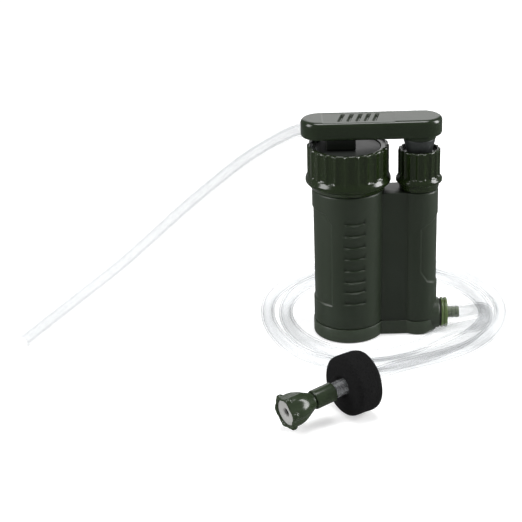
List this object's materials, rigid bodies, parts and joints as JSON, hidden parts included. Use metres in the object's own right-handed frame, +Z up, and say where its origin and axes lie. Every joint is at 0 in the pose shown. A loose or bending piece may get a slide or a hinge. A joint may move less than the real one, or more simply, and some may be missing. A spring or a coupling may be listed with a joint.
{
  "type": "pump water filter",
  "caption": "Hand pump water filter: filter barrel and pump barrel side by side, swing-out handle, foam float, intake strainer and clear hoses.",
  "frame": {"origin": "on the filter barrel's axis, at the bottom face of the base", "axes": "+X from the filter barrel to the pump barrel and the inlet nozzle, -Y is the front, +Z up along both barrels"},
  "size_m": [0.3619, 0.2778, 0.165],
  "materials": {
    "green_plastic": "satin dark green moulded plastic",
    "gloss_green": "gloss dark green moulded plastic",
    "grey_plastic": "satin dark grey plastic",
    "white_plastic": "plain white plastic",
    "seal_rubber": "black seal rubber",
    "silicone": "pale silicone rubber",
    "steel": "stainless screw steel",
    "carbon": "block of active carbon",
    "fibre": "packed fibre",
    "foam": "black closed-cell foam",
    "clear_hose": "clear flexible tube"
  },
  "bodies": {
    "housing": {"body_shell": "green_plastic", "base_cover": "green_plastic", "filter_head": "green_plastic", "head_oring": "silicone", "gland_bush": "white_plastic", "gland_oring": "seal_rubber", "outlet_spout": "green_plastic", "inlet_nozzle": "gloss_green", "nozzle_gasket": "seal_rubber", "cartridge_bottom": "white_plastic", "cartridge_top": "white_plastic", "cartridge_shell": "white_plastic", "cartridge_oring": "silicone", "cotton_sleeve": "fibre", "carbon_sleeve": "carbon", "membrane_bundle": "fibre", "float": "foam", "strainer_sleeve": "gloss_green", "strainer_bell": "gloss_green", "strainer_disc": "white_plastic", "intake_hose": "clear_hose", "outlet_hose": "clear_hose"},
    "filter_nut": {"filter_ring_nut": "gloss_green"},
    "gland_nut": {"gland_nut": "gloss_green"},
    "plunger": {"plunger_rod": "grey_plastic", "plunger_collar": "grey_plastic", "piston_head": "white_plastic", "piston_seal": "seal_rubber", "pivot_screw": "steel"},
    "handle": {"handle_shell": "gloss_green", "handle_plate": "green_plastic", "plate_screw_1": "steel", "plate_screw_2": "steel"},
    "inlet_valve": {"inlet_valve": "silicone"},
    "outlet_valve": {"outlet_valve": "silicone"}
  },
  "joints": [
    {"name": "filter_nut_turn", "type": "hinge", "parent": "housing", "child": "filter_nut", "pos_m": [0, 0, 0], "axis": [0, 0, 1], "range_deg": [0, 720]},
    {"name": "gland_nut_turn", "type": "hinge", "parent": "housing", "child": "gland_nut", "pos_m": [0.0505, 0, 0], "axis": [0, 0, 1], "range_deg": [0, 720]},
    {"name": "plunger_slide", "type": "slide", "parent": "housing", "child": "plunger", "axis": [0, 0, 1], "range_m": [0, 0.088]},
    {"name": "handle_swing", "type": "hinge", "parent": "plunger", "child": "handle", "pos_m": [0.0505, 0, 0], "axis": [0, 0, 1], "range_deg": [0, 180]},
    {"name": "inlet_valve_lift", "type": "slide", "parent": "housing", "child": "inlet_valve", "axis": [-1, 0, 0], "range_m": [0, 0.0009], "stiffness_N_per_m": 20},
    {"name": "outlet_valve_lift", "type": "slide", "parent": "housing", "child": "outlet_valve", "axis": [0, 0, -1], "range_m": [0, 0.0009], "stiffness_N_per_m": 20}
  ]
}
